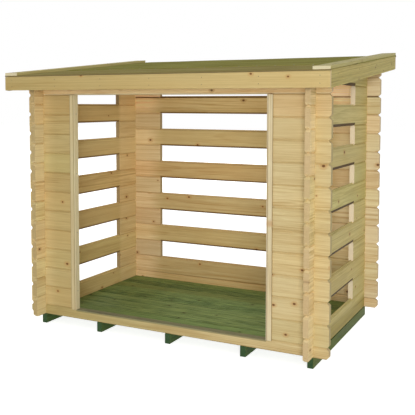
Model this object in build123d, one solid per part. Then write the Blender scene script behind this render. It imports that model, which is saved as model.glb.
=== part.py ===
from build123d import *

import os

os.makedirs("parts", exist_ok=True)

# An open-fronted log store built from interlocking planks, with a mono-pitch roof that rises to the back.
# Lengths are in millimetres. +X runs along the front to the right, +Y from front to back and +Z up.
# The origin is on the ground, under the middle of the roof.

# Driving dimensions: planks
LOG_T = 28.0  # thickness of a plank
LOG_TAIL = 80.0  # how far a plank runs on past a corner
TONGUE_W = 9.0
TONGUE_H = 6.0
TONGUE_TAPER = 1.5
GROOVE_PLAY = 0.5  # room around a tongue in its groove
LOG_BEVEL = 6.0  # bevel along the long edges, which makes the V joint
END_BEVEL = 14.0  # bevel across the top and bottom of a free end

# Driving dimensions: walls
WALL_W = 1710.0  # over the outer faces of the side walls
WALL_D = 1018.0  # over the outer faces of the front and back walls
FRONT_H = 1422.0  # top of the front wall, at its outer face
TOP_TRIM = 3.0  # cut off the front wall's top plank
ROOF_RISE = 112.0  # from the top of the front wall to that of the back wall
STUB = 234.0  # short plank, from the outer face of the wall that it crosses to its square end
RIGHT_REAR_STUB = 300.0  # the same for the short planks at the right wall's rear corner, which are longer

# Driving dimensions: opening
JAMB_WEB = 19.0
JAMB_LIP_T = 5.0
JAMB_LIP_OVERLAP = 12.0  # how far a lip covers the plank ends
JAMB_END_GAP = 2.0  # room for the planks to swell towards the web
JAMB_SIDE_GAP = 0.3
JAMB_BEVEL = 2.0
SILL_REBATE = 7.0  # depth planed off the sill between the jambs
THRESHOLD_T = 3.0
THRESHOLD_D = 44.0  # from the sill's front face inwards, past its inner face
THRESHOLD_END_GAP = 0.5

# Driving dimensions: base
RUNNER_H = 56.0
RUNNER_W = 32.0
RUNNER_LEFT_BAY = 400.0  # from the left edge of the first runner to that of the second
RUNNER_RIGHT_BAY = 369.0  # between the last two, in the same way
FLOOR_T = 16.0
FLOOR_PITCH = 96.0  # nearest whole number of boards is laid at about this pitch
FLOOR_GAP = 3.0
FLOOR_END_GAP = 2.0
BOARD_BEVEL = 2.0

# Driving dimensions: roof
ROOF_SIDE = 120.0  # overhang past each side wall
ROOF_FRONT = 155.0
ROOF_BACK = 205.0
DECK_T = 14.0
DECK_PITCH = 95.0  # nearest whole number of boards is laid at about this pitch
DECK_GAP = 1.0
FELT_T = 2.0
FELT_LAP = 400.0  # from the eave to the lower edge of the upper strip
TRIM_T = 16.0  # thickness of fascias, barge boards and cap boards
FASCIA_H = 78.0
FASCIA_DROP = 6.0  # top of a fascia below the felt
BARGE_H = 88.0
CAP_W = 87.0
GABLE_TIP = 12.0  # height of the blunt tip of the tapered planks under the roof

# Places that follow from the sizes
WHOLE_COURSES = 12  # planks in the height of the front wall, on a half-height starter
COURSE = (FRONT_H + TOP_TRIM) / (WHOLE_COURSES + 1 / 2)  # cover height of one plank
BACK_H = FRONT_H + ROOF_RISE
X_OUT = WALL_W / 2
ROOF_X = X_OUT + ROOF_SIDE
ROOF_RUN = ROOF_FRONT + WALL_D + ROOF_BACK
Y_EAVE = -ROOF_RUN / 2
Y_REAR = ROOF_RUN / 2
Y_FRONT = Y_EAVE + ROOF_FRONT  # outer face of the front wall
Y_BACK = Y_FRONT + WALL_D  # outer face of the back wall
Z_BASE = RUNNER_H  # underside of the walls
SLOPE = ROOF_RISE / WALL_D
NOTCH = COURSE / 4
HALF = COURSE / 2
TAIL_RISE = SLOPE * LOG_TAIL  # how much the roof rises over a plank's tail


def wall_height(y):
    """Height of the walls at y, above the base."""
    return FRONT_H + SLOPE * (y - Y_FRONT)


def roof_z(y, above=0.0):
    """Height of the roof's underside at y, or of a plane a given height above it."""
    return Z_BASE + wall_height(y) + above


def block(x0, x1, y0, y1, z0, z1):
    return Pos((x0 + x1) / 2, (y0 + y1) / 2, (z0 + z1) / 2) * Box(x1 - x0, y1 - y0, z1 - z0)


def prism(points, direction):
    """The closed outline through the points, extruded along the direction."""
    face = make_face(Polyline(*points, close=True))
    return extrude(face, amount=direction.length, dir=direction.normalized())


def sloping(x0, x1, y0, y1, low, high):
    """A slab that follows the roof, between two heights above its underside."""
    outline = [
        (x0, y0, roof_z(y0, low)),
        (x0, y1, roof_z(y1, low)),
        (x0, y1, roof_z(y1, high)),
        (x0, y0, roof_z(y0, high)),
    ]
    return prism(outline, Vector(x1 - x0, 0, 0))


ABOVE_ROOF = sloping(-ROOF_X, ROOF_X, Y_EAVE, Y_REAR, 0, BACK_H)


# Planks


def log_section(height, tongue, groove):
    """Outline of a plank across its length: bevelled edges, a tongue on top and a groove below."""
    mid = LOG_T / 2
    half = TONGUE_W / 2
    slot = half + GROOVE_PLAY
    points = [(0, LOG_BEVEL), (LOG_BEVEL, 0)]
    if groove:
        deep = TONGUE_H + GROOVE_PLAY
        points += [(mid - slot, 0), (mid - slot + TONGUE_TAPER, deep)]
        points += [(mid + slot - TONGUE_TAPER, deep), (mid + slot, 0)]
    points += [(LOG_T - LOG_BEVEL, 0), (LOG_T, LOG_BEVEL)]
    points += [(LOG_T, height - LOG_BEVEL), (LOG_T - LOG_BEVEL, height)]
    if tongue:
        tip = height + TONGUE_H
        points += [(mid + half, height), (mid + half - TONGUE_TAPER, tip)]
        points += [(mid - half + TONGUE_TAPER, tip), (mid - half, height)]
    points += [(LOG_BEVEL, height), (0, height - LOG_BEVEL)]
    return [(0, across, up) for across, up in points]


def end_outline(length, height, free_start, free_end):
    """Side view of a plank, with the top and bottom of its free ends bevelled."""
    top = height + TONGUE_H
    reach = END_BEVEL + TONGUE_H
    points = [(END_BEVEL, 0)] if free_start else [(0, 0)]
    if free_end:
        points += [(length - END_BEVEL, 0), (length, END_BEVEL)]
        points += [(length, height - END_BEVEL), (length - reach, top)]
    else:
        points += [(length, 0), (length, top)]
    if free_start:
        points += [(reach, top), (0, height - END_BEVEL), (0, END_BEVEL)]
    else:
        points += [(0, top)]
    return [(along, 0, up) for along, up in points]


def log(length, crossings, height=COURSE, tongue=True, groove=True, starter=False, free_start=True, free_end=True):
    """A plank along +X from the origin. Each crossing is the distance to the middle of a corner joint.

    The planks of the two walls lie half a course apart. Each is cut a quarter of a course deep from above and
    from below at the joint, so that the necks that are left fill the corner. A starter lies on the runners, so
    it has no cut below.
    """
    body = prism(log_section(height, tongue, groove), Vector(length, 0, 0))
    body &= prism(end_outline(length, height, free_start, free_end), Vector(0, LOG_T, 0))
    neck_top = (HALF if starter else COURSE) - NOTCH
    for at in crossings:
        left = at - LOG_T / 2
        right = at + LOG_T / 2
        body -= block(left, right, -1, LOG_T + 1, neck_top, neck_top + COURSE)
        if not starter:
            body -= block(left, right, -1, LOG_T + 1, -1, NOTCH)
    return body


def log_x(x, y, z, length, crossings, **shape):
    """A plank along +X. x is its left end, y its front face and z its underside above the base."""
    return Pos(x, y, Z_BASE + z) * log(length, crossings, **shape)


def log_y(x, y, z, length, crossings, **shape):
    """A plank along +Y. x is its left face, y its front end and z its underside above the base."""
    return Pos(x + LOG_T, y, Z_BASE + z) * Rot(0, 0, 90) * log(length, crossings, **shape)


FULL_X = WALL_W + 2 * LOG_TAIL
FULL_Y = WALL_D + 2 * LOG_TAIL
FIRST = LOG_TAIL + LOG_T / 2  # first corner joint, from a plank's free end
CROSS_X = (FIRST, FULL_X - FIRST)
CROSS_Y = (FIRST, FULL_Y - FIRST)
SHORT = LOG_TAIL + STUB
FRONT_Y = Y_FRONT
BACK_Y = Y_BACK - LOG_T
LEFT_X = -X_OUT
RIGHT_X = X_OUT - LOG_T


def long_x(y, z, **shape):
    return log_x(-X_OUT - LOG_TAIL, y, z, FULL_X, CROSS_X, **shape)


def long_y(x, z, **shape):
    return log_y(x, Y_FRONT - LOG_TAIL, z, FULL_Y, CROSS_Y, **shape)


def left_short(y, z):
    return log_x(-X_OUT - LOG_TAIL, y, z, SHORT, [FIRST], free_end=False)


def right_short(y, z):
    return log_x(X_OUT - STUB, y, z, SHORT, [SHORT - FIRST], free_start=False)


def front_short(x, z):
    return log_y(x, Y_FRONT - LOG_TAIL, z, SHORT, [FIRST], free_end=False)


def rear_short(x, z, stub):
    length = LOG_TAIL + stub
    return log_y(x, Y_BACK - stub, z, length, [length - FIRST], free_start=False)


# Walls


def courses(start, top):
    """Height above the base and height of each plank from start up. The last one reaches the top."""
    rows = []
    z = start
    while z + COURSE + NOTCH < top:
        rows.append((z, COURSE))
        z += COURSE
    return rows + [(z, top - z)]


SIDE_ROWS = courses(0, BACK_H)
FRONT_ROWS = courses(HALF, wall_height(Y_FRONT + LOG_T))
BACK_ROWS = courses(HALF, BACK_H)


def front_wall():
    """Short planks each side of the opening, a sill below it and a header above it."""
    pieces = {"front_sill": sill()}
    for row, start in (("odd", 0), ("even", 1)):
        heights = [z for z, _ in FRONT_ROWS[start:-1:2]]
        pieces[f"front_left_logs_{row}"] = [left_short(FRONT_Y, z) for z in heights]
        pieces[f"front_right_logs_{row}"] = [right_short(FRONT_Y, z) for z in heights]
    z, height = FRONT_ROWS[-1]
    pieces["front_header"] = long_x(FRONT_Y, z, height=height, tongue=False) - ABOVE_ROOF
    return pieces


def sill():
    """Half-height starter plank, planed down between the jambs for the threshold."""
    half_log = long_x(FRONT_Y, 0, height=HALF, groove=False, starter=True)
    top = Z_BASE + HALF
    opening = X_OUT - STUB
    rebate = block(-opening, opening, FRONT_Y - 1, FRONT_Y + LOG_T + 1, top - SILL_REBATE, top + COURSE)
    return half_log - rebate


def back_wall():
    """Full planks with a gap of one course between them, on a half-height and a full plank."""
    pieces = {"back_sill": long_x(BACK_Y, 0, height=HALF, groove=False, starter=True)}
    for number, (z, _) in enumerate(BACK_ROWS[:-1:2], start=1):
        pieces[f"back_log_{number}"] = long_x(BACK_Y, z)
    gaps = [z for z, _ in BACK_ROWS[1:-1:2]]
    pieces["back_spacers"] = [left_short(BACK_Y, z) for z in gaps] + [right_short(BACK_Y, z) for z in gaps]
    z, height = BACK_ROWS[-1]
    pieces["back_top_log"] = long_x(BACK_Y, z, height=height, tongue=False) - ABOVE_ROOF
    return pieces


def side_wall(name, x, rear_stub):
    """Full planks with a gap of one course above each, and tapered planks under the slope of the roof."""
    level = [z for z, height in SIDE_ROWS if z + height + TONGUE_H <= FRONT_H - TAIL_RISE]
    pieces = {}
    for number, z in enumerate(level[::2], start=1):
        pieces[f"{name}_log_{number}"] = long_y(x, z, groove=z > 0)
    gaps = level[1::2]
    rear = [rear_short(x, z, rear_stub) for z in gaps]
    pieces[f"{name}_spacers"] = [front_short(x, z) for z in gaps] + rear
    for number, (z, height) in enumerate(SIDE_ROWS[len(level):], start=1):
        last = z == SIDE_ROWS[-1][0]
        if last:
            height += TAIL_RISE
        pieces[f"{name}_gable_log_{number}"] = gable_log(x, z, height, not last)
    return pieces


def gable_log(x, z, height, tongue):
    """Plank cut along the roof. One that the front wall is too low for starts at a blunt tip."""
    if z + NOTCH < FRONT_H:
        return long_y(x, z, height=height, tongue=tongue) - ABOVE_ROOF
    tip = Y_FRONT + (z + GABLE_TIP - FRONT_H) / SLOPE
    start = max(tip, Y_FRONT + LOG_T)
    length = Y_BACK + LOG_TAIL - start
    shape = {"height": height, "tongue": tongue, "free_start": False}
    return log_y(x, start, z, length, [length - FIRST], **shape) - ABOVE_ROOF


# Opening

SILL_TOP = Z_BASE + HALF
THRESHOLD_TOP = SILL_TOP - SILL_REBATE + THRESHOLD_T
HEADER_Z = Z_BASE + FRONT_ROWS[-1][0]
JAMB_FACE = X_OUT - STUB - JAMB_END_GAP - JAMB_WEB  # face towards the opening


def jamb(side):
    """Channel that slips over the square ends of the front planks. side is -1 at the left, 1 at the right."""
    outer = JAMB_FACE + JAMB_WEB + JAMB_END_GAP + JAMB_LIP_OVERLAP
    inner = JAMB_FACE + JAMB_WEB
    front = Y_FRONT - JAMB_SIDE_GAP
    rear = Y_FRONT + LOG_T + JAMB_SIDE_GAP
    bevel = JAMB_BEVEL
    points = [
        (outer, front - JAMB_LIP_T),
        (outer, front),
        (inner, front),
        (inner, rear),
        (outer, rear),
        (outer, rear + JAMB_LIP_T),
        (JAMB_FACE + bevel, rear + JAMB_LIP_T),
        (JAMB_FACE, rear + JAMB_LIP_T - bevel),
        (JAMB_FACE, front - JAMB_LIP_T + bevel),
        (JAMB_FACE + bevel, front - JAMB_LIP_T),
    ]
    outline = [(side * x, y, THRESHOLD_TOP) for x, y in points]
    return prism(outline, Vector(0, 0, HEADER_Z - THRESHOLD_TOP))


def threshold():
    reach = X_OUT - STUB - THRESHOLD_END_GAP
    return block(-reach, reach, Y_FRONT, Y_FRONT + THRESHOLD_D, SILL_TOP - SILL_REBATE, THRESHOLD_TOP)


# Base


def runners():
    """The outer runners carry the side walls and the others the floor."""
    first = -X_OUT
    last = X_OUT - RUNNER_W
    second = first + RUNNER_LEFT_BAY
    fourth = last - RUNNER_RIGHT_BAY
    lefts = [first, second, (second + fourth) / 2, fourth, last]
    return [block(x, x + RUNNER_W, Y_FRONT, Y_BACK, 0, RUNNER_H) for x in lefts]


def floor_boards():
    """Boards along +X on the runners, inside the walls, with a gap after each."""
    start = Y_FRONT + LOG_T
    depth = WALL_D - 2 * LOG_T
    count = round(depth / FLOOR_PITCH)
    pitch = depth / count
    reach = X_OUT - LOG_T - FLOOR_END_GAP
    top = Z_BASE + FLOOR_T
    boards = []
    for n in range(count):
        y0 = start + pitch * n + FLOOR_GAP / 2
        y1 = y0 + pitch - FLOOR_GAP
        outline = [
            (-reach, y0, Z_BASE),
            (-reach, y1, Z_BASE),
            (-reach, y1, top - BOARD_BEVEL),
            (-reach, y1 - BOARD_BEVEL, top),
            (-reach, y0 + BOARD_BEVEL, top),
            (-reach, y0, top - BOARD_BEVEL),
        ]
        boards.append(prism(outline, Vector(2 * reach, 0, 0)))
    return boards


# Roof

ROOF_TOP = DECK_T + FELT_T
DECK_X = ROOF_X - TRIM_T
DECK_Y0 = Y_EAVE + TRIM_T
DECK_Y1 = Y_REAR - TRIM_T


def deck_boards():
    """Boards that run down the slope, side by side, on the front and back walls."""
    count = round(2 * DECK_X / DECK_PITCH)
    pitch = 2 * DECK_X / count
    lefts = [-DECK_X + pitch * n + DECK_GAP / 2 for n in range(count)]
    return [sloping(x, x + pitch - DECK_GAP, DECK_Y0, DECK_Y1, 0, DECK_T) for x in lefts]


def fascia(y0, y_low):
    """Level board across an end of the roof. y_low is where the felt over it is lowest."""
    top = roof_z(y_low, ROOF_TOP) - FASCIA_DROP
    return block(-ROOF_X, ROOF_X, y0, y0 + TRIM_T, top - FASCIA_H, top)


def barge(x0):
    return sloping(x0, x0 + TRIM_T, DECK_Y0, DECK_Y1, ROOF_TOP - BARGE_H, ROOF_TOP)


def cap(x0):
    return sloping(x0, x0 + CAP_W, Y_EAVE, Y_REAR, ROOF_TOP, ROOF_TOP + TRIM_T)


def roof():
    lap = Y_EAVE + FELT_LAP
    return {
        "roof_deck": deck_boards(),
        "felt_lower": sloping(-DECK_X, DECK_X, DECK_Y0, lap, DECK_T, ROOF_TOP),
        "felt_upper": sloping(-DECK_X, DECK_X, lap, DECK_Y1, DECK_T, ROOF_TOP),
        "front_fascia": fascia(Y_EAVE, Y_EAVE),
        "rear_fascia": fascia(Y_REAR - TRIM_T, Y_REAR - TRIM_T),
        "left_barge": barge(-ROOF_X),
        "right_barge": barge(ROOF_X - TRIM_T),
        "left_cap": cap(-ROOF_X),
        "right_cap": cap(ROOF_X - CAP_W),
    }


# The whole store

NODES = {
    "runners": runners(),
    "floor_boards": floor_boards(),
    **front_wall(),
    **side_wall("left", LEFT_X, STUB),
    **side_wall("right", RIGHT_X, RIGHT_REAR_STUB),
    **back_wall(),
    "left_jamb": jamb(-1),
    "right_jamb": jamb(1),
    "threshold": threshold(),
    **roof(),
}

for node, shape in NODES.items():
    whole = Compound(children=shape) if isinstance(shape, list) else shape
    export_step(whole, f"parts/{node}.step")
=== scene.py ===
# %% [markdown]
# # A log store of interlocking planks
#
# The store is packed as a CAD model: planks, jambs, floor, runners and roof, each with its real
# size and place. Blender gives these pieces their finish, adds what a carpenter and a roofer leave
# behind, such as eased edges, nails and felt turned down over the edge, and lights the whole. The
# first cell loads the model. Nothing in it is moved, so every place below is read from it.

# %% Load the model
import math

import bmesh
import bpy
from mathutils import Matrix, Vector, noise


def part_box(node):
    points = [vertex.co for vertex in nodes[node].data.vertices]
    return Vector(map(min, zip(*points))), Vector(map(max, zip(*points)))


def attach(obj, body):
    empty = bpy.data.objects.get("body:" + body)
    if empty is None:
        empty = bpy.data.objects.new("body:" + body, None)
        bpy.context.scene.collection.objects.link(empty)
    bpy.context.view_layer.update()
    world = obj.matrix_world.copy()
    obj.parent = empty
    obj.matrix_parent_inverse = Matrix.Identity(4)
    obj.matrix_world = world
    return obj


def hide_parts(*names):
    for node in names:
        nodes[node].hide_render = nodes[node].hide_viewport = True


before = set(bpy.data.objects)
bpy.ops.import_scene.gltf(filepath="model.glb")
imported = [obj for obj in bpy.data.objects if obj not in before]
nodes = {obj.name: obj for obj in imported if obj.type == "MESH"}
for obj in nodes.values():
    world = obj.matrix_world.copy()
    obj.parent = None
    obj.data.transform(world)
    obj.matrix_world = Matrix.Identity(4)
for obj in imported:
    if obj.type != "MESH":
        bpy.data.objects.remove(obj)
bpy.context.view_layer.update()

# %% [markdown]
# ## Measures
#
# A few lengths set the rhythm of the whole building: how high one course of planks is, where the
# walls stand and how the roof slopes. They could be typed in, but worked out from the boxes of the
# nodes they follow the model if its sizes change.

# %% Read the store's measures
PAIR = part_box("left_log_2")[0].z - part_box("left_log_1")[0].z  # a plank and the gap above it
COURSE = PAIR / 2
WALL_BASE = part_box("left_log_1")[0].z
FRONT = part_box("front_header")[0].y
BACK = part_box("back_sill")[1].y
MIDDLE = (FRONT + BACK) / 2
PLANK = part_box("front_header")[1].y - FRONT  # thickness of every wall
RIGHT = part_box("right_log_1")[1].x
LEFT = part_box("left_log_1")[0].x
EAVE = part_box("front_fascia")[0].y
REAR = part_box("rear_fascia")[1].y
ROOF_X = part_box("right_cap")[1].x
CAP_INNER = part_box("right_cap")[0].x
FELT_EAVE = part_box("right_cap")[0].z  # the caps lie on the felt, so this is its top at the eave
header_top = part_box("front_header")[1].z
back_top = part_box("back_top_log")[1].z
SLOPE = (back_top - header_top) / (BACK - FRONT - PLANK)


def course(number):
    """Height in the walls, counted in courses from their underside."""
    return WALL_BASE + number * COURSE


def felt_top(y):
    """Height of the felt at y."""
    return FELT_EAVE + SLOPE * (y - EAVE)


print(f"course {COURSE:.3f}, walls {RIGHT - LEFT:.3f} by {BACK - FRONT:.3f}")
print(f"roof {REAR - EAVE:.3f} deep, slope {SLOPE:.3f}")

# %% [markdown]
# ## Camera
#
# A tall lens from standing height flattens the front a little and still shows the right side. The
# lens, the turn and the small shift of the frame belong together: shifting slides the picture
# without tilting the upright edges.

# %% Set up the camera
LENS = 60.54  # millimetres, on a frame 36 millimetres wide
SHIFT_X, SHIFT_Y = -0.0397, -0.1447  # shares of the frame's width
YAW, PITCH, ROLL = [math.radians(angle) for angle in (25.818, 86.531, 0.137)]
ASIDE, AWAY, ABOVE = 1.0793, 3.2559, 1.2551  # of the foot of the front right corner

camera = bpy.data.objects.new("camera", bpy.data.cameras.new("camera"))
bpy.context.scene.collection.objects.link(camera)
bpy.context.scene.camera = camera
camera.data.sensor_width = 36
camera.data.lens = LENS
camera.data.shift_x = SHIFT_X
camera.data.shift_y = SHIFT_Y
turn = Matrix.Rotation(YAW, 4, "Z") @ Matrix.Rotation(PITCH, 4, "X") @ Matrix.Rotation(ROLL, 4, "Z")
eye = Vector((RIGHT + ASIDE, FRONT - AWAY, WALL_BASE + ABOVE))
camera.matrix_world = Matrix.Translation(eye) @ turn
print("camera at", [round(v, 3) for v in eye])

# %% [markdown]
# ## Node arithmetic
#
# A shader is a graph of small steps. Written as bare nodes, even a wavy ring takes a page, so a
# small class wraps a socket and lets ordinary arithmetic make the Math nodes. `1 - mask` works as
# well as `mask - 1`, because the reflected forms are there too.


# %% A socket that takes part in arithmetic
class Value:
    def __init__(self, finish, socket):
        self.finish = finish
        self.socket = socket

    def output(self, name):
        """Another output of the same node."""
        return Value(self.finish, self.socket.node.outputs[name])

    def math(self, operation, *others):
        sockets = dict(enumerate([self, *others]))
        return self.finish.node("ShaderNodeMath", {"operation": operation}, sockets)

    def __add__(self, other):
        return self.math("ADD", other)

    def __sub__(self, other):
        return self.math("SUBTRACT", other)

    def __rsub__(self, other):
        return self.math("MULTIPLY_ADD", -1.0, other)

    def __mul__(self, other):
        return self.math("MULTIPLY", other)

    def __truediv__(self, other):
        return self.math("DIVIDE", other)

    def __pow__(self, other):
        return self.math("POWER", other)

    def __abs__(self):
        return self.math("ABSOLUTE")

    __radd__ = __add__
    __rmul__ = __mul__


# %% [markdown]
# A second class holds one material, or the world, and makes every other kind of node with one
# method. It also knows the places that the patterns are built on. These are the three axes, the
# height above the slope of the roof, and the span from the middle of the store. Boards on the roof
# need the height above the slope because they lie along it, and the span treats the store's left
# and right alike.


# %% A finish that grows node by node
class Finish:
    def __init__(self, owner):
        self.owner = owner
        owner.use_nodes = True
        self.tree = owner.node_tree
        self.tree.nodes.clear()
        self.places = {}

    def node(self, kind, settings=None, sockets=None, out=0):
        """Adds a node: its settings first, then the values or links of its sockets."""
        node = self.tree.nodes.new(kind)
        for key, value in (settings or {}).items():
            setattr(node, key, value)
        for key, value in (sockets or {}).items():
            if isinstance(value, Value):
                self.tree.links.new(value.socket, node.inputs[key])
            else:
                node.inputs[key].default_value = value
        return Value(self, node.outputs[out]) if node.outputs else None

    def mix(self, factor, first, second, blend="MIX"):
        """Mixes two colours. Inputs 0, 6 and 7 and output 2 are a Mix node's colour sockets."""
        settings = {"data_type": "RGBA", "blend_type": blend, "clamp_factor": True}
        return self.node("ShaderNodeMix", settings, {0: factor, 6: first, 7: second}, out=2)

    def band(self, value, start, end):
        """Runs smoothly from 0 to 1 as value goes from start to end."""
        settings = {"interpolation_type": "SMOOTHSTEP"}
        return self.node("ShaderNodeMapRange", settings, {0: value, 1: start, 2: end})

    def noise(self, x, y, z, detail=2.0, rough=0.5):
        where = {"Vector": self.point(x, y, z), "Scale": 1.0}
        return self.node("ShaderNodeTexNoise", {}, {**where, "Detail": detail, "Roughness": rough})

    def point(self, x, y, z):
        return self.node("ShaderNodeCombineXYZ", {}, {0: x, 1: y, 2: z})

    def parts(self, vector):
        split = self.node("ShaderNodeSeparateXYZ", {}, {0: vector})
        return [split.output(axis) for axis in "XYZ"]

    def place(self, axis):
        """Where the surface is, in metres: x, y, z, roof or span."""
        if not self.places:
            spot = self.node("ShaderNodeTexCoord", out="Object")
            self.places = dict(zip("xyz", self.parts(spot)))
            self.places["roof"] = self.places["z"] - self.places["y"] * SLOPE
            self.places["span"] = abs(self.places["x"])
        return self.places[axis]

    def within(self, *stretches):
        """1 where the surface is past every stretch, which is an axis, a start and an end."""
        masks = [self.band(self.place(axis), start, end) for axis, start, end in stretches]
        whole = masks[0]
        for mask in masks[1:]:
            whole = whole * mask
        return whole

    def facing(self, axis):
        """1 where the surface faces along the axis, 0 where it runs along it."""
        normal = self.node("ShaderNodeNewGeometry", out="Normal")
        return abs(self.parts(normal)["xyz".index(axis)])

    def surface(self, color, roughness, height, relief, metallic=0.0, gloss=0.12):
        """Closes a material with one shader. height is 0 to 1 and relief is its depth in metres."""
        bump = {"Height": height, "Distance": relief, "Strength": 1.0}
        sockets = {"Base Color": color, "Roughness": roughness, "Metallic": metallic}
        sockets["Specular IOR Level"] = gloss
        sockets["Normal"] = self.node("ShaderNodeBump", {}, bump)
        shader = self.node("ShaderNodeBsdfPrincipled", {}, sockets)
        self.node("ShaderNodeOutputMaterial", {}, {"Surface": shader})
        return self.owner


def srgb(red, green, blue):
    """A colour as a screen shows it, 0 to 255, turned into the linear light that shaders use."""
    shares = [v / 255 for v in (red, green, blue)]
    return (*[v / 12.92 if v <= 0.04045 else ((v + 0.055) / 1.055) ** 2.4 for v in shares], 1.0)


# %% [markdown]
# ## Wood
#
# Sawn wood is a solid cut out of a log. So the pattern is built in space, and not painted on the
# faces: rings lie round a pith that runs along each board, some way outside it, and wander slowly.
# A face along the board then shows long streaks and its end shows arcs, and both meet at the edge
# without any unwrapping.
#
# Every board could have a material of its own. Instead, one material tells its boards apart by
# counting: the boards of one node lie at an even pitch, so the place across them divided by that
# pitch, rounded down, numbers them. Each number draws three random shares, which move the board's
# pith and shift its colour.


# %% The cut of a board
SLACK = 0.0005  # keeps a board's lower edge from being counted with the board below
ROW_STEP, HALF_STEP = 7.13, 31.7  # chosen so that no two boards share a number


def cut_out(f, grain, wide, thick, seed, width, start, level=0.0, pitch=None, half=None):
    """Where a point lies in its own board, and the board's three random shares.

    The place is given along the board, across it from its middle, and into it from level.
    """
    along, across, into = f.place(grain), f.place(wide), f.place(thick) - level
    number = seed
    if pitch:
        row = ((across - start + SLACK) / pitch).math("FLOOR")
        across = across - row * pitch
        number = row * ROW_STEP + seed
    if half is not None:
        number = (along - half).math("GREATER_THAN", 0.0) * HALF_STEP + number
    settings = {"noise_dimensions": "1D"}
    white = f.node("ShaderNodeTexWhiteNoise", settings, {"W": number}, out="Color")
    return along, across - (start + width / 2), into, f.parts(white)


# %% [markdown]
# Knots are branches: dark spots with a warm halo that push the rings aside. Placed by hand they
# would soon repeat, so a Voronoi texture scatters them, one to a cell, and each cell's random
# colour says whether it has a knot and how thick that is. The rings are circles round the pith, a
# year's growth apart, with the dark late wood on one side.

# %% Knots and rings
KNOT_CELL = 0.13  # metres
KNOT_STRETCH = 0.72  # under 1, knots lie further apart along a board than across it
PITH_ASIDE = 0.04  # the nearest that a pith lies to the level that a board is measured from


def knots_in(f, run, across, share, chance, size):
    """Dark cores and warm halos of the knots, each 0 to 1."""
    where = f.point(run * KNOT_STRETCH, across + share * 9, 0.0)
    settings = {"Vector": where, "Scale": 1 / KNOT_CELL, "Randomness": 1.0}
    spots = f.node("ShaderNodeTexVoronoi", {"voronoi_dimensions": "2D"}, settings)
    draw, girth, _ = f.parts(spots.output("Color"))
    there = draw.math("LESS_THAN", chance)
    radius = girth * size + size * 0.55
    ratio = spots.output("Distance") * KNOT_CELL / radius
    return f.band(ratio, 1.2, 0.7) * there, f.band(ratio, 3.6, 1.0) * there


def rings_in(f, run, across, into, shares, halo, spacing):
    """Late wood, 0 to 1: the dark side of each year's ring."""
    one, two, _ = shares
    drift = f.noise(run * 0.8, into * 5, across * 5, detail=1.0) - 0.5
    aside = into - (one * 0.11 + PITH_ASIDE)
    below = across - (two - 0.5) * 0.13
    radius = (aside * aside + below * below) ** 0.5 + drift * 0.016 + halo * 0.006
    waver = f.noise(run * 2, into * 60, across * 60) - 0.5
    phase = (radius / spacing + waver * 0.4).math("FRACT")
    return f.band(phase, 0.3, 0.88) * f.band(phase, 1.0, 0.92)


# %% [markdown]
# Where two planks meet, a shadowed joint collects dirt. The bevels of the model give it its shape,
# and a darker band along the lower edge of each plank gives it the dirt and painted shade. Where a
# plank stands over an air gap, a broader band of painted shade lies there too.


# %% Joints between planks
def joints_on(f, color, along, across, wide, tones, seam, gap, cut):
    """Darkens the lower edge of each board, and more of it over an air gap."""
    edge = cut["width"] / 2
    # Dirt and painted shade along the lower edge of each plank.
    low = f.band(across, 0.0032 - edge, 0.0012 - edge)
    color = f.mix(low * seam, color, tones["joint"], "MULTIPLY")
    if gap:
        start, end, reach = gap
        # Painted shade where the plank stands over an air gap.
        above_gap = f.place(wide).math("GREATER_THAN", cut["start"] + cut["pitch"] / 2)
        between = along.math("GREATER_THAN", start) * along.math("LESS_THAN", end)
        shaded = f.band(across, reach - edge, reach - 0.003 - edge) * (between * above_gap)
        color = f.mix(shaded, color, tones["shade"], "MULTIPLY")
    return color


# %% [markdown]
# The grain mixes five patterns, from the year's rings down to single fibres. One noise stretched
# along the board would do from afar, but up close a board shows all of these at once.


# %% Marks of the grain
def marks_in(f, run, across, into, late, flecks):
    """How strongly the grain shows, and the streaks and fibres that also shape the surface."""
    streak = f.noise(run * 0.9, into * 30, across * 120, detail=4.0, rough=0.65)
    line = f.band(abs(f.noise(run * 0.5, into * 20, across * 50, detail=1.0) - 0.5), 0.03, 0.006)
    fibre = f.noise(run * 30, into * 900, across * 900)
    fleck = f.noise(run * 9, into * 60, across * 230) - 0.5
    marks = late * 0.22 + f.band(streak, 0.32, 0.72) * 0.34 + line * 0.34 + fibre * 0.2
    return marks + fleck * flecks - 0.04, streak, fibre


# %% [markdown]
# No two boards are quite one colour, so each is warmed or cooled, and made lighter or darker, by
# its random shares. A cast is a tint for one part of a wall, such as the painted shade at the left
# of
# the sill: it multiplies the colour where the surface lies past the cast's stretches. Many casts
# are painted light or painted shade. A cast could be painted on unwrapped faces, but read from the
# place it needs no unwrapping and follows the model.


# %% Colour of a board
def tinted(f, color, run, across, into, shares, tones, casts):
    """The grain's colour, warmed or cooled board by board, with the casts of its wall."""
    one, _, three = shares
    cloud = f.noise(run * 2.2, into * 6, across * 9)
    color = f.mix(f.band(cloud, 0.38, 0.68) * 0.5, color, tones["warm"], "MULTIPLY")
    color = f.mix(f.band(three, 0.5, 1.0) * 0.8, color, tones["warm"], "MULTIPLY")
    color = f.mix(f.band(three, 0.5, 0.0) * 0.8, color, tones["cool"], "MULTIPLY")
    for tint, *stretches in casts:
        color = f.mix(f.within(*stretches), color, tint, "MULTIPLY")
    shade = one * 0.11 + 0.93
    return f.mix(1.0, color, f.point(shade, shade, shade), "MULTIPLY")


# %% [markdown]
# Now the layers come together, in the order in which they lie on a real board: the grain, the
# board's colour, its knots, the dirt and painted shade of the joint, and last the ends, which get a
# tone of their own because end grain drinks in light.


# %% The wood pattern
APART = 40  # metres along the grain over which boards are drawn, so that no two match
RELIEF = 0.0004


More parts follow.
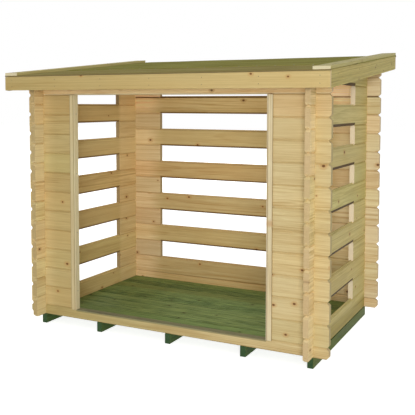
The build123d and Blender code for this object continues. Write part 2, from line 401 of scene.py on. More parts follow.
def wood(
    name,
    grain,
    wide,
    thick,
    seed,
    tones,
    contrast=1.0,
    knots=0.34,
    knot_size=0.0047,
    rings=0.0046,
    flecks=0.7,
    seam=0.0,
    gap=None,
    square=None,
    casts=(),
    **cut,
):
    """A material for boards.

    grain, wide and thick name the board's axes, and tones its colours. gap is where the air below a
    board starts and ends, and how high its shade reaches. A cast is a tint and its stretches, and
    square is another tone for the end grain and the stretch over which it takes over.
    """
    f = Finish(bpy.data.materials.new(name))
    along, across, into, shares = cut_out(f, grain, wide, thick, seed, **cut)
    one, two, three = shares
    run = along + three * APART
    core, halo = knots_in(f, run, across, two, knots, knot_size)
    late = rings_in(f, run, across, into, shares, halo, rings)
    marks, streak, fibre = marks_in(f, run, across, into, late, flecks)
    strength = (one * 7.7).math("FRACT") * (0.8 * contrast) + 0.6 * contrast
    color = f.mix(marks * strength, tones["early"], tones["late"])
    color = tinted(f, color, run, across, into, shares, tones, casts)
    color = f.mix(halo * 0.45, color, tones["halo"])
    color = f.mix(core * 0.9, color, tones["knot"])
    if seam:
        color = joints_on(f, color, along, across, wide, tones, seam, gap, cut)

    end_tone = tones["end"]
    if square:
        tone, stretch = square
        end_tone = f.mix(f.within(stretch), end_tone, tone)
    color = f.mix(f.band(f.facing(grain), 0.6, 0.85) * 0.75, color, end_tone)
    height = late * 0.4 + streak * 0.35 + fibre * 0.3 - core * 0.4
    return f.surface(color, 0.6 + (fibre - 0.5) * 0.2 - late * 0.06, height, RELIEF)


# %% [markdown]
# ## Planks of the walls
#
# All walls are one kind of plank, fresh spruce. Its tones are written once, and each wall changes a
# few. Early and late wood, halo, knot and end are colours, and warm, cool, joint and shade are
# tints that multiply them. The joint tint is dirt and painted shade, and the shade tint is painted
# shade over an air gap.

# %% Pale spruce
SPRUCE = {
    "early": srgb(224, 204, 154),
    "late": srgb(186, 155, 100),
    "warm": (1.0, 0.94, 0.87, 1.0),
    "cool": (0.96, 1.0, 0.90, 1.0),
    "halo": srgb(192, 138, 76),
    "knot": srgb(104, 64, 36),
    # Dirt and painted shade in the joints, then painted shade over an air gap.
    "joint": (0.50, 0.40, 0.28, 1.0),
    "shade": (0.40, 0.32, 0.24, 1.0),
    "end": srgb(212, 190, 150),
}


# %% [markdown]
# What differs from wall to wall is the way that the grain runs and how the boards are counted. A
# node holds every second course, so its boards lie at a pitch of two courses. Short planks at both
# ends of a wall share a height, so the half of the wall is counted too. The nodes keep their own
# meshes and only change their material.


# %% How planks are counted
def dress(material, *names):
    """Gives CAD nodes this material in place of their plain one."""
    for name in names:
        for slot in nodes[name].material_slots:
            slot.material = material


def numbered(stem):
    return [name for name in nodes if name.startswith(stem) and name[len(stem) :].isdigit()]


def plank(name, grain, first, seed, tones=SPRUCE, short=False, **style):
    """Wood for planks that lie every second course, from the lowest of the node called first."""
    half = {"x": 0.0, "y": MIDDLE}[grain] if short else None
    thick, level = {"x": ("y", MIDDLE), "y": ("x", 0.0)}[grain]
    rows = {"pitch": PAIR, "width": COURSE, "start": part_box(first)[0].z}
    cut = {**rows, "half": half, "level": level}
    return wood(name, grain, "z", thick, seed, tones, seam=0.6, **cut, **style)


def gap_of(spacers, axis, reach):
    """Where a wall's air gap starts and ends, between short planks, and how high shade reaches."""
    places = [v.co["xyz".index(axis)] for v in nodes[spacers].data.vertices]
    middle = (min(places) + max(places)) / 2
    return max(p for p in places if p < middle), min(p for p in places if p > middle), reach


# %% [markdown]
# The front wall comes first, as the eye meets it. One finish for all of it would look like one
# board. The sill is painted darker to the left, painted shade where the light falls off, and its
# top is darker and greyer between the jambs. The header is painted lighter, painted light against
# the shadow of the fascia. The short planks beside the opening have tight, light joints. At the
# left they are painted darker, painted shade where the light falls off, and darker still from the
# corner inwards, which leaves the corner lighter: painted light against the shadow that the side
# wall's tails cast there.

# %% Front wall
# The header's tones are lighter than the spruce's: painted light against the fascia's shadow.
HEADER = {**SPRUCE, "early": srgb(236, 219, 180), "late": srgb(208, 176, 132)}
# The left panel's tones are darker than the right's: painted shade where the light falls off.
LEFT_PANEL = {
    **SPRUCE,
    "early": srgb(218, 198, 145),
    "late": srgb(178, 150, 94),
    "joint": (0.86, 0.83, 0.76, 1.0),
    "end": srgb(196, 172, 126),
}
RIGHT_PANEL = {
    **LEFT_PANEL,
    "early": srgb(225, 207, 157),
    "late": SPRUCE["late"],
    "warm": (1.0, 0.97, 0.92, 1.0),
    "end": srgb(176, 160, 112),
}

strip_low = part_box("threshold")[0].z
jamb_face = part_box("right_jamb")[0].x
# Painted shade: the sill darker to the left, where the light falls off.
shade_leftwards = ((0.73, 0.74, 0.62, 1.0), ("x", 0.70, -0.60))
between_jambs = ("span", jamb_face + 0.002, jamb_face)
# The sill's top between the jambs is darker and greyer.
greyer_top = ((0.56, 0.60, 0.60, 1.0), ("z", strip_low - 0.007, strip_low - 0.004), between_jambs)
dress(plank("front_sill", "x", "front_sill", 3.1, casts=[shade_leftwards, greyer_top]), "front_sill")

header_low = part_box("front_header")[0].z
# Painted light: the header lighter above its lower edge, against the fascia's shadow.
header_light = ((1.34, 1.22, 1.09, 1.0), ("z", header_low + 0.003, header_low + 0.012))
dress(plank("front_header", "x", "front_header", 5.1, HEADER, casts=[header_light]), "front_header")

redder = ((1.0, 0.92, 0.88, 1.0), ("z", course(10.3), course(10.7)))
# Painted light: the left panel darker from the corner inwards leaves the shaded corner lighter.
inwards = ((0.85, 0.84, 0.77, 1.0), ("x", LEFT + 0.028, LEFT + 0.13))
calm = {"contrast": 0.75, "flecks": 1.1, "knots": 0.5, "knot_size": 0.0042}
for side, seed, tones, casts in (
    ("left", 11.9, LEFT_PANEL, [redder, inwards]),
    ("right", 61.2, RIGHT_PANEL, [redder]),
):
    for rows in ("odd", "even"):
        name = f"front_{side}_logs_{rows}"
        dress(plank(name, "x", name, seed + len(rows), tones, casts=casts, **calm), name)
print("front wall: sill, header and panels are dressed")

# %% [markdown]
# The back wall is seen from inside, through the opening. Its planks are painted darker in the
# middle and, on the inner face, painted lighter towards the roof and the right corner: painted
# light where the roof and the walls shade the inside. The joint under the top plank is painted
# dark, a painted shadow. These casts on the inner face are held to it by a stretch along y, so the
# outside keeps the plain wood, and the tails at the right are a cleaner yellow.

# %% Back wall
BACK_WALL = {**SPRUCE, "early": srgb(236, 211, 166), "late": srgb(200, 162, 108)}

row_top = course(11.5)
inner_face = ("y", BACK - PLANK + 0.010, BACK - PLANK + 0.006)
indoors = ("span", RIGHT - 0.005, RIGHT - 0.012)
# Painted light: darker in the middle, and on the inner face lighter towards the roof and the right
# corner, where the roof and the walls shade the inside.
shaded_middle = ((0.73, 0.72, 0.60, 1.0), ("span", 0.74, 0.58))
yellower = ((0.98, 1.07, 1.19, 1.0), ("x", RIGHT - 0.01, RIGHT + 0.01))
left_corner = ((0.89, 0.89, 0.90, 1.0), ("x", 0.02, -0.02))
right_corner = ((1.18, 1.27, 1.4, 1.0), ("x", 0.60, 0.72), inner_face, indoors)
top_light = ((1.6, 1.6, 1.8, 1.0), ("z", course(10), course(11.4)), inner_face, indoors)
# Painted shadow in the joint under the top plank, on the inner face.
shadow_low = ("z", row_top - 0.008, row_top - 0.006)
shadow_high = ("z", row_top + 0.03, row_top + 0.02)
top_shadow = ((0.25, 0.18, 0.12, 1.0), shadow_low, inner_face, shadow_high)
# Painted shade on the end grain of the short planks at the air gaps.
shaded_ends = (srgb(160, 136, 92), ("span", RIGHT, RIGHT - 0.05))

gap = gap_of("back_spacers", "x", 0.012)
casts = [shaded_middle, yellower, top_light, right_corner, top_shadow]
long = plank("back_long", "x", "back_log_1", 23.4, BACK_WALL, gap=gap, casts=casts)
dress(long, "back_sill", "back_top_log", *numbered("back_log_"))
casts = [yellower, left_corner, top_light, right_corner]
style = {"contrast": 0.8, "square": shaded_ends, "casts": casts}
short = plank("back_short", "x", "back_spacers", 29.8, BACK_WALL, short=True, **style)
dress(short, "back_spacers")
print("back wall: air gaps from", round(gap[0], 3), "to", round(gap[1], 3))

# %% [markdown]
# On the side walls the tails in front are painted paler than the wall: painted light. The left wall
# shows its inner face through the opening, painted paler towards the rear and the roof: painted
# light where the roof and the back wall shade the inside. The right wall shows its outer face,
# darkest at the foot, and deep painted shade over each gap. Both walls are made by one loop,
# because only their tones and casts differ.

# %% Side walls
LEFT_WALL = {**SPRUCE, "early": srgb(219, 196, 139), "end": srgb(172, 148, 100)}
RIGHT_WALL = {
    **SPRUCE,
    "early": srgb(221, 207, 144),
    "late": srgb(181, 163, 97),
    "shade": (0.12, 0.08, 0.05, 1.0),
    "end": srgb(198, 170, 126),
}

tails = ("y", FRONT + 0.01, FRONT - 0.01)
behind_tails = ("y", FRONT, FRONT + 0.02)
rear_half = ("y", MIDDLE - 0.02, MIDDLE + 0.02)
rear_end = ("y", BACK - 0.26, BACK - 0.20)
left_inner_face = ("x", LEFT + PLANK - 0.010, LEFT + PLANK - 0.006)
# Painted light: the tails in front painted paler than the wall.
paler_tails = ((1.25, 1.36, 1.64, 1.0), tails)
brighter_tails = ((1.40, 1.34, 1.75, 1.0), tails)
# Painted light: the left wall painted paler towards the rear and the roof, where it lies in shade.
rear_corner = ((1.11, 1.12, 1.27, 1.0), rear_half)
top_rear = ((1.22, 1.24, 1.3, 1.0), ("z", course(9.8), course(11.2)), left_inner_face, rear_end)
paler_rear = ((1.13, 1.15, 1.28, 1.0), rear_end, left_inner_face)
foot = ((0.66, 0.63, 0.48, 1.0), ("z", course(0.95), course(0.45)), behind_tails)
# Painted light on the right wall's end grain at the air gaps.
lit_ends = (srgb(240, 222, 196), ("y", FRONT, FRONT + 0.05))
# Painted shade on the left wall's end grain at the air gaps.
shaded_ends = (srgb(140, 114, 76), ("y", FRONT, FRONT + 0.05))

LEFT_CASTS = ([paler_tails, paler_rear, top_rear], [paler_tails, rear_corner, top_rear])
RIGHT_CASTS = ([brighter_tails, foot], [brighter_tails, foot])
for side, seed, tones, (long_casts, short_casts), square, reach in (
    ("left", 37.7, LEFT_WALL, LEFT_CASTS, shaded_ends, 0.012),
    ("right", 43.3, RIGHT_WALL, RIGHT_CASTS, lit_ends, 0.017),
):
    gap = gap_of(f"{side}_spacers", "y", reach)
    style = {"tones": tones, "square": square}
    long = plank(f"{side}_long", "y", f"{side}_log_1", seed, gap=gap, casts=long_casts, **style)
    dress(long, *numbered(f"{side}_log_"), f"{side}_gable_log_1")
    style = {**style, "short": True, "casts": short_casts}
    short = plank(f"{side}_short", "y", f"{side}_spacers", seed + 5, **style)
    dress(short, f"{side}_spacers", f"{side}_gable_log_2")
    print(side, "wall: air gaps from", round(gap[0], 3), "to", round(gap[1], 3))

# %% [markdown]
# ## Edges that a hand has eased
#
# The fascias, barge boards, caps, jambs and runners are planed boards, and in the model their edges
# are knife sharp. A real edge is rounded by a millimetre or two, and catches a thin line of light.
# A Bevel modifier could round it, but the model's mesh is loose triangles and stays as it is. So a
# copy is made: its triangles are merged, flat faces are joined again, and the edges that turn a
# corner get a small round bevel. The copy stands for the node.

# %% A piece of its own, and an eased copy of a board
ROUND = 0.0015  # how far a board's edges are eased
FINE_ROUND = 0.0008


def piece(name, shape, material, stands_for=()):
    """Turns a bmesh into an object with its material, and lets it ride on the store's one body."""
    mesh = bpy.data.meshes.new(name)
    shape.to_mesh(mesh)
    shape.free()
    mesh.materials.append(material)
    made = bpy.data.objects.new(name, mesh)
    bpy.context.scene.collection.objects.link(made)
    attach(made, "root")
    if stands_for:
        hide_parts(*stands_for)
    return made


def merged(node):
    shape = bmesh.new()
    shape.from_mesh(nodes[node].data)
    flat = math.radians(1)
    bmesh.ops.remove_doubles(shape, verts=shape.verts, dist=1e-5)
    bmesh.ops.dissolve_limit(shape, angle_limit=flat, verts=shape.verts, edges=shape.edges)
    return shape


def ease(shape, width):
    sharp = math.radians(30)
    corners = [e for e in shape.edges if len(e.link_faces) == 2 and e.calc_face_angle(0) > sharp]
    look = {"affect": "EDGES", "segments": 2, "profile": 0.5, "material": -1}
    bmesh.ops.bevel(shape, geom=corners, offset=width, **look)


def eased(node, width, material):
    shape = merged(node)
    ease(shape, width)
    made = piece(f"{node}_eased", shape, material, [node])
    print(node, "has", len(made.data.polygons), "faces after easing its edges")


# %% [markdown]
# ## Fascias, barge boards and caps
#
# The fascias are pale planed boards, painted darker towards the left: painted shade where the light
# falls off. The barge boards and the caps over them are pressure treated, which leaves a faint
# green.
# They lie along the roof, so their grain runs along y and their width is measured from the slope.
# Turning the pattern with a Mapping node would do as well, but one more place to measure from keeps
# all boards on the same few lines.

# %% Fascias
FASCIA = {
    **SPRUCE,
    "early": srgb(214, 191, 134),
    "late": srgb(184, 157, 98),
    "halo": srgb(196, 140, 76),
}
# Painted shade: the fascias darker to the left, where the light falls off.
shade_to_left = ((0.78, 0.77, 0.70, 1.0), ("x", ROOF_X, -ROOF_X))
style = {"knots": 0.6, "knot_size": 0.0036, "casts": [shade_to_left]}
for name, seed in (("front_fascia", 5.5), ("rear_fascia", 8.5)):
    low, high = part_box(name)
    cut = {"width": high.z - low.z, "start": low.z, "level": low.y}
    eased(name, ROUND, wood(name, "x", "z", "y", seed, FASCIA, **style, **cut))

# %% Barge boards and caps
BARGE = {
    **SPRUCE,
    "early": srgb(206, 193, 122),
    "late": srgb(160, 145, 80),
    "cool": (0.93, 1.0, 0.86, 1.0),
    "halo": srgb(150, 120, 70),
    "knot": srgb(84, 62, 36),
    "end": srgb(232, 220, 186),
}
CAPS = {**BARGE, "early": srgb(206, 194, 132), "late": srgb(172, 158, 98)}
BARGE_HIGH = 0.088
ROOF_LEVEL = felt_top(0.0)
for side, seed in (("left", 2.2), ("right", 6.6)):
    name = f"{side}_barge"
    low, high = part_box(name)
    cut = {"width": BARGE_HIGH, "start": ROOF_LEVEL - BARGE_HIGH, "level": low.x}
    eased(name, ROUND, wood(name, "y", "roof", "x", seed, BARGE, knots=0.5, **cut))
    name = f"{side}_cap"
    low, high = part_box(name)
    cut = {"width": high.x - low.x, "start": low.x, "level": ROOF_LEVEL}
    eased(name, ROUND, wood(name, "y", "x", "roof", seed + 1, CAPS, **cut))

# %% [markdown]
# ## Jambs and threshold
#
# A grooved channel slips over the ends of the short planks on each side of the opening. Its grain
# stands upright. A dull line runs down its front beside the opening, a painted shadow lies where
# its
# lip touches the planks, and the face that looks into the opening is painted lighter and greyer:
# painted light. The span from the middle of the store places all three, so one set of casts fits
# both jambs.

# %% Jambs
JAMB = {
    **SPRUCE,
    "early": srgb(240, 227, 193),
    "late": srgb(206, 182, 138),
    "end": srgb(190, 168, 122),
}
SHADED_JAMB = {**JAMB, "early": srgb(215, 204, 162), "late": srgb(184, 161, 118)}
for side, seed, tones in (("left", 3.2, SHADED_JAMB), ("right", 7.6, JAMB)):
    name = f"{side}_jamb"
    low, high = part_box(name)
    inner, outer = sorted((abs(low.x), abs(high.x)))
    # A darker line down the front beside the opening.
    darker_line = ((0.62, 0.56, 0.50, 1.0), ("span", inner + 0.0100, inner + 0.0080))
    # Painted light: the face into the opening painted lighter and greyer.
    lit_face = ((1.72, 1.98, 2.4, 1.0), ("span", inner + 0.0040, inner + 0.0030))
    # Painted shadow where the lip touches the planks.
    contact_shadow = ((0.5, 0.42, 0.32, 1.0), ("span", outer - 0.0035, outer - 0.001))
    style = {"knots": 0.12, "rings": 0.0036, "casts": [darker_line, lit_face, contact_shadow]}
    cut = {"width": high.y - low.y, "start": low.y, "level": low.x}
    eased(name, FINE_ROUND, wood(name, "z", "y", "x", seed, tones, **style, **cut))

# %% [markdown]
# The threshold is a thin hardwood strip with fine grooves, so that boots don't slip. A bump could
# fake them, but it would go flat along the strip's edge, so the grooves are real. The strip is
# sliced along its length, and every second slice of the top is pushed down.

# %% Threshold
STRIP = {
    **SPRUCE,
    "early": srgb(156, 154, 118),
    "late": srgb(106, 102, 78),
    "warm": (1.0, 0.94, 0.92, 1.0),
    "end": srgb(90, 80, 62),
}
GROOVES = 8
GROOVE_DEPTH = 0.0012


def spread(start, end, count):
    """Places at even distances, the first at start and the last at end."""
    return [start + (end - start) * n / (count - 1) for n in range(count)]


low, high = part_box("threshold")
strip = merged("threshold")
cuts = spread(low.y, high.y, 2 * GROOVES + 2)[1:-1]
for y in cuts:
    everything = [*strip.verts, *strip.edges, *strip.faces]
    bmesh.ops.bisect_plane(strip, geom=everything, plane_co=(0, y, 0), plane_no=(0, 1, 0))
tops = [face for face in strip.faces if face.normal.z > 0.9]
tops.sort(key=lambda face: face.calc_center_median().y)
sunk = bmesh.ops.extrude_discrete_faces(strip, faces=tops[1::2])["faces"]
floors = list({v for face in sunk for v in face.verts})
bmesh.ops.translate(strip, verts=floors, vec=(0, 0, -GROOVE_DEPTH))
cut = {"width": high.y - low.y, "start": low.y, "level": low.z}
finish = wood("threshold", "x", "y", "z", 9.2, STRIP, knots=0.0, **cut)
piece("threshold_grooved", strip, finish, ["threshold"])
print("threshold:", GROOVES, "grooves")

# %% [markdown]
# ## Floor, runners and roof deck
#
# The floor and the runners are pressure treated against rot, and so a strong green. They use the
# same wood as the walls with green tones, because treated wood is the same wood, soaked. The
# floor's boards are counted across the depth of the store. The runners under it stand on edge,
# their sawn ends show below the front wall, and the right one's outer face has faded. The deck
# under the felt is untreated.

# %% Floor boards
GREEN = {
    "early": srgb(149, 170, 106),
    "late": srgb(54, 84, 42),
    "warm": (1.0, 0.92, 0.84, 1.0),
    "cool": (0.90, 1.0, 0.92, 1.0),
    "halo": srgb(92, 92, 50),
    "knot": srgb(50, 52, 28),
    "joint": (0.38, 0.38, 0.30, 1.0),
    "end": srgb(112, 124, 76),
}
FLOOR_BOARDS = 10
FLOOR_PITCH = (BACK - FRONT - 2 * PLANK) / FLOOR_BOARDS
cut = {"pitch": FLOOR_PITCH, "width": FLOOR_PITCH, "start": FRONT + PLANK, "level": WALL_BASE}
style = {"contrast": 1.2, "flecks": 2.4, "seam": 0.9}
dress(wood("floor", "x", "y", "z", 1.7, GREEN, **style, **cut), "floor_boards")
print("floor:", FLOOR_BOARDS, "boards", round(FLOOR_PITCH, 3), "apart")

# %% Runners
RUNNER = {**GREEN, "early": srgb(90, 114, 62), "late": srgb(52, 74, 42), "end": srgb(52, 78, 54)}
outer_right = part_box("runners")[1].x
faded = ((1.42, 1.08, 0.72, 1.0), ("x", outer_right - 0.004, outer_right - 0.001))
cut = {"width": WALL_BASE, "start": 0.0}
finish = wood("runner", "y", "z", "x", 4.1, RUNNER, knots=0.2, casts=[faded], **cut)
eased("runners", ROUND, finish)

# %% Roof deck
DECK = {**SPRUCE, "early": srgb(208, 184, 134), "late": srgb(172, 142, 92)}
DECK_BOARDS = 20
low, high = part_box("roof_deck")
pitch = (high.x - low.x) / DECK_BOARDS
cut = {"pitch": pitch, "width": pitch, "start": low.x, "level": ROOF_LEVEL}
dress(wood("deck", "y", "x", "roof", 7.9, DECK, seam=0.6, **cut), "roof_deck")
print("deck:", DECK_BOARDS, "boards", round(pitch, 3), "apart")

# %% [markdown]
# ## Roofing felt
#
# Mineral felt is bitumen strewn with fine slate, rolled out along the eave in strips. An image of
# felt would repeat, so the slate is a fine noise, and two broad ones lay drifts and drag marks
# along the roll. The lower strip is browner than the upper.


# %% Mineral felt
def felt(name, light, dark, seed):
    f = Finish(bpy.data.materials.new(name))
    x, y, z = f.place("x"), f.place("y"), f.place("z")
    cloud = f.noise(x * 2.5 + seed, y * 7, 0.0, detail=3.0)
    drag = f.noise(x * 1.1 + seed, y * 40, 0.0)
    granule = f.noise(x * 420, y * 420, z * 420, detail=1.0)
    broad = f.band(cloud, 0.3, 0.7) * 0.4 + f.band(drag, 0.35, 0.65) * 0.2
    tone = broad + (granule - 0.5) * 1.1 + 0.1
    cut_edge = f.band(y, EAVE + 0.010, EAVE + 0.004)
    color = f.mix(cut_edge, f.mix(tone, dark, light), srgb(132, 117, 76))
    return f.surface(color, roughness=0.92, height=granule, relief=0.0006, gloss=0.08)


LOWER = felt("felt_lower", srgb(184, 171, 106), srgb(144, 131, 73), 3.0)
UPPER = felt("felt_upper", srgb(174, 169, 90), srgb(131, 126, 58), 9.0)
print("felt:", LOWER.name, "and", UPPER.name)

# %% [markdown]
# Each strip overlaps the one below it, and the outer edges are turned down. A grid laid on the
# slope gives the strip, its boundary edges are extruded down for the turned edge, and a Solidify
# modifier gives the thickness. Felt never lies quite flat, so the grid gets low, wide ripples where
# the caps don't hold it down.

# %% Strips of felt
FELT_REACH = ROOF_X + 0.002
RIPPLE = 0.0016
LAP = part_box("felt_upper")[0].y
LAPPED = 0.07  # how much of the lower strip the upper one covers
LIFT = 0.0028  # how far the upper strip's edge rides up on the lower one


def ramp(value, length):
    """0 to 1 as value goes from 0 to length, and level beyond."""
    return max(0.0, min(1.0, value / length))


def lay(strip, start, lift):
    """Moves the grid onto the roof, with its first edge lifted and ripples beyond."""
    for vertex in strip.verts:
        x, y, _ = vertex.co
        free = ramp(CAP_INNER - abs(x), 0.04)
        down = ramp(y - start, 0.05)
        ripple = noise.noise(Vector((x * 3.0, y * 7.0, start * 5))) + 0.5
        vertex.co.z = felt_top(y) + free * (lift * (1 - down) + RIPPLE * ripple * down)


def turn_down(strip, start, end, turned):
    """Extrudes the strip's outer edges downwards. turned says how far, side by side."""
    sides = {
        "front": (Vector((0, -0.0008, 0)), lambda v: v.co.y < start + 1e-4),
        "rear": (Vector((0, 0.0008, 0)), lambda v: v.co.y > end - 1e-4),
        "gables": (Vector(), lambda v: abs(v.co.x) > FELT_REACH - 1e-4),
    }
    edges = {side: [e for e in strip.edges if all(map(sides[side][1], e.verts))] for side in turned}
    for side, drop in turned.items():
        outward = sides[side][0]
        lip = bmesh.ops.extrude_edge_only(strip, edges=edges[side])["geom"]
        corners = [v for v in lip if isinstance(v, bmesh.types.BMVert)]
        bmesh.ops.translate(strip, verts=corners, vec=outward - Vector((0, 0, drop)))


def felt_strip(name, node, start, end, turned, lift, finish):
    """A strip across the roof from start to end along y."""
    strip = bmesh.new()
    bmesh.ops.create_grid(strip, x_segments=90, y_segments=30, size=0.5)
    bmesh.ops.scale(strip, verts=strip.verts, vec=(2 * FELT_REACH, end - start, 1))
    bmesh.ops.translate(strip, verts=strip.verts, vec=(0, (start + end) / 2, 0))
    lay(strip, start, lift)
    turn_down(strip, start, end, turned)
    bmesh.ops.recalc_face_normals(strip, faces=strip.faces)
    if sum(face.normal.z for face in strip.faces) < 0:
        bmesh.ops.reverse_faces(strip, faces=strip.faces)
    made = piece(name, strip, finish, [node])
    thick = made.modifiers.new("thickness", "SOLIDIFY")
    thick.thickness = 0.0022
    thick.offset = -1
    print(name, "from", round(start, 3), "to", round(end, 3))


turned = {"front": 0.005, "gables": 0.003}
felt_strip("felt_lower_strip", "felt_lower", EAVE + 0.002, LAP + LAPPED, turned, 0.0, LOWER)
turned = {"rear": 0.011, "gables": 0.003}
felt_strip("felt_upper_strip", "felt_upper", LAP, REAR + 0.001, turned, LIFT, UPPER)

# %% [markdown]
# ## Nails and screws
#
# Small round heads hold the boards. They are only millimetres wide, and yet the eye looks for them.
# One head is a low cone with a shallow dish inset in its top, and it is repeated at each place,
# turned to the face that it sits on. Each kind is one mesh, because a hundred objects would only be
# in the way.

# %% Heads
HEAD_HIGH = 0.0016
DISH = 0.0004


def steel(name, tone, roughness):
    f = Finish(bpy.data.materials.new(name))
    spot = f.noise(f.place("x") * 300, f.place("y") * 300, f.place("z") * 300)
    darker = tuple(v * 0.7 for v in tone[:3]) + (1.0,)
    color = f.mix(f.band(spot, 0.35, 0.7), tone, darker)
    uneven = roughness + (spot - 0.5) * 0.3
    return f.surface(color, uneven, height=spot, relief=0.0001, metallic=0.8)


def heads(name, spots, radius, finish):
    """spots are pairs: a point on a face, and the way that the face looks."""
    shape = bmesh.new()
    cone = {"segments": 10, "radius1": radius, "radius2": radius * 0.8, "depth": HEAD_HIGH}
    for point, way in spots:
        way = Vector(way)
        turn = way.to_track_quat("Z", "Y").to_matrix().to_4x4()
        matrix = Matrix.Translation(point) @ turn
        made = bmesh.ops.create_cone(shape, cap_ends=True, matrix=matrix, **cone)
        faces = {face for vertex in made["verts"] for face in vertex.link_faces}
        top = max(faces, key=lambda face: face.calc_center_median().dot(way))
        bmesh.ops.inset_region(shape, faces=[top], thickness=radius * 0.3, depth=-DISH)
    piece(name, shape, finish)
    print(name, len(spots), "heads")


ZINC = steel("zinc", (0.46, 0.45, 0.40, 1.0), 0.5)
DULL = steel("dull_nail", (0.20, 0.17, 0.12, 1.0), 0.6)

# %% [markdown]
# A carpenter nails each floor board twice to every inner runner, the fascias in pairs, and the
# barge boards and caps in rows along the slope. Four screws hold each jamb, and broad clouts hold
# the felt's lap. The places are worked out from the boards that the heads hold.

# %% Nails in the floor
runner_sides = sorted({round(v.co.x, 4) for v in nodes["runners"].data.vertices})
runner_middles = [(a + b) / 2 for a, b in zip(runner_sides[::2], runner_sides[1::2])]
floor_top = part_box("floor_boards")[1].z
spots = []
for x in runner_middles[1:-1]:
    for n in range(FLOOR_BOARDS):
        for share in (0.25, 0.75):
            y = FRONT + PLANK + FLOOR_PITCH * (n + share)
            spots.append((Vector((x, y, floor_top)), (0, 0, 1)))
heads("floor_nails", spots, 0.003, DULL)

# %% Nails in the fascias
spots = []
for node, face, way in (("front_fascia", EAVE, -1), ("rear_fascia", REAR, 1)):
    low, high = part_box(node)
    for x in spread(low.x + 0.05, high.x - 0.05, 7):
        for share in (0.27, 0.73):
            z = low.z + (high.z - low.z) * share
            spots.append((Vector((x, face, z)), (0, way, 0)))
heads("fascia_nails", spots, 0.0022, DULL)

# %% Nails in the caps and barge boards
up = Vector((0, -SLOPE, 1)).normalized()
cap_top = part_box("right_cap")[1].z - SLOPE * REAR
spots = []
for side in (-1, 1):
    for y in spread(EAVE + 0.06, REAR - 0.06, 5):
        for inset, on in ((0.008, y), (0.06, y + 0.03)):
            spots.append((Vector((side * (ROOF_X - inset), on, cap_top + SLOPE * on)), up))
    for y in spread(EAVE + 0.12, REAR - 0.12, 4):
        spots.append((Vector((side * ROOF_X, y, felt_top(y) - 0.03)), (side, 0, 0)))
heads("trim_nails", spots, 0.0026, DULL)

# %% Screws in the jambs
low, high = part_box("left_jamb")
middle = (low.y + high.y) / 2
spots = []
for way, face in ((1, high.x), (-1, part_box("right_jamb")[0].x)):
    for z in spread(low.z + 0.11, high.z - 0.11, 4):
        spots.append((Vector((face, middle, z)), (way, 0, 0)))
heads("jamb_screws", spots, 0.0035, ZINC)

# %% Clouts along the felt's lap
y = LAP + 0.018
outermost = CAP_INNER - 0.03
spots = [(Vector((x, y, felt_top(y) + 0.0024)), up) for x in spread(-outermost, outermost, 17)]
heads("felt_clouts", spots, 0.004, ZINC)

# %% [markdown]
# ## Light
#
# The store stands in a plain white room, and the sky light comes evenly from the world. A world
# bright enough to look white would wash the wood out. So a ray that comes from the camera, off
# something shiny or through something clear sees the world as white, and other rays see its true,
# lower strength.


# %% World
def straight(f):
    """1 for a ray from the camera, off something shiny or through something clear."""
    path = f.node("ShaderNodeLightPath", out="Is Camera Ray")
    glossy = path.math("MAXIMUM", path.output("Is Glossy Ray"))
    return glossy.math("MAXIMUM", path.output("Is Transmission Ray"))


def white_world(strength):
    world = bpy.data.worlds.new("sky")
    bpy.context.scene.world = world
    f = Finish(world)
    white = (1, 1, 1, 1)
    sky = f.node("ShaderNodeBackground", {}, {"Color": white, "Strength": strength})
    seen = f.node("ShaderNodeBackground", {}, {"Color": white, "Strength": 1.0})
    shader = f.node("ShaderNodeMixShader", {}, {0: straight(f), 1: sky, 2: seen})
    f.node("ShaderNodeOutputWorld", {}, {"Surface": shader})
    print("world:", strength, "to the store, white to the camera")


white_world(0.4)

# %% [markdown]
# One large and distant lamp behind the camera models the front, and a weaker one across from it
# keeps the back from going dull. Both are large, because small ones would draw hard shadows. A
# small soft lamp inside stands in for the light that pale ground throws back there.

# %% Lamps
PANEL_WIDE, PANEL_HIGH = 4.8, 3.6


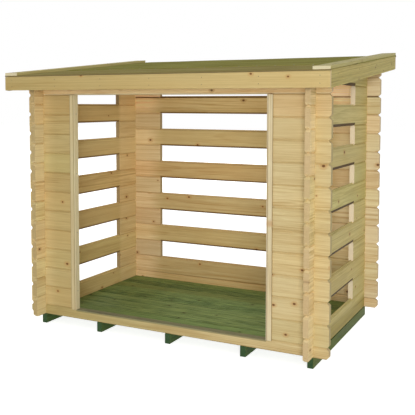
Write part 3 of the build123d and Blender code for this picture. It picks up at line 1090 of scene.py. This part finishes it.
def lamp(name, kind, place, watts):
    light = bpy.data.objects.new(name, bpy.data.lights.new(name, kind))
    bpy.context.scene.collection.objects.link(light)
    light.data.energy = watts
    light.location = place
    light.visible_camera = False
    light.visible_glossy = False
    print("lamp:", name, watts, "watts")
    return light


def panel(name, place, aim, watts):
    """A soft rectangular lamp that looks at aim."""
    light = lamp(name, "AREA", place, watts)
    light.data.shape = "RECTANGLE"
    light.data.size = PANEL_WIDE
    light.data.size_y = PANEL_HIGH
    light.rotation_mode = "QUATERNION"
    light.rotation_quaternion = (Vector(aim) - Vector(place)).to_track_quat("-Z", "Y")


panel("key", place=(5.6, -11.6, 2.4), aim=(0.1, FRONT, 0.8), watts=800)
panel("rear", place=(-5.5, 10.5, 5.0), aim=(0.0, BACK, 0.8), watts=420)
inner = lamp("inner", "POINT", place=(0.2, -0.2, 0.85), watts=4.8)
inner.data.shadow_soft_size = 0.25

# %% [markdown]
# ## Floor of the studio
#
# A wide pale sheet. More lamplight would turn it white, and the store with it. So to the camera it
# also glows a little, which adds no light to the store, and the soft shadow under the store still
# shows.


# %% Studio floor
def pale_floor(glow):
    f = Finish(bpy.data.materials.new("ground"))
    diffuse = f.node("ShaderNodeBsdfDiffuse", {}, {"Color": (0.86, 0.86, 0.86, 1)})
    glowing = f.node("ShaderNodeEmission", {}, {"Color": (1, 1, 1, 1), "Strength": glow})
    both = f.node("ShaderNodeAddShader", {}, {0: diffuse, 1: glowing})
    shader = f.node("ShaderNodeMixShader", {}, {0: straight(f), 1: diffuse, 2: both})
    f.node("ShaderNodeOutputMaterial", {}, {"Surface": shader})
    return f.owner


sheet = bmesh.new()
bmesh.ops.create_grid(sheet, x_segments=1, y_segments=1, size=30)
mesh = bpy.data.meshes.new("ground")
sheet.to_mesh(mesh)
sheet.free()
ground = bpy.data.objects.new("ground", mesh)
bpy.context.scene.collection.objects.link(ground)
ground.data.materials.append(pale_floor(0.8))

# %% [markdown]
# ## The whole store
#
# The standard view shows each colour as it is written.

# %% Finish
view = bpy.context.scene.view_settings
view.view_transform = "Standard"
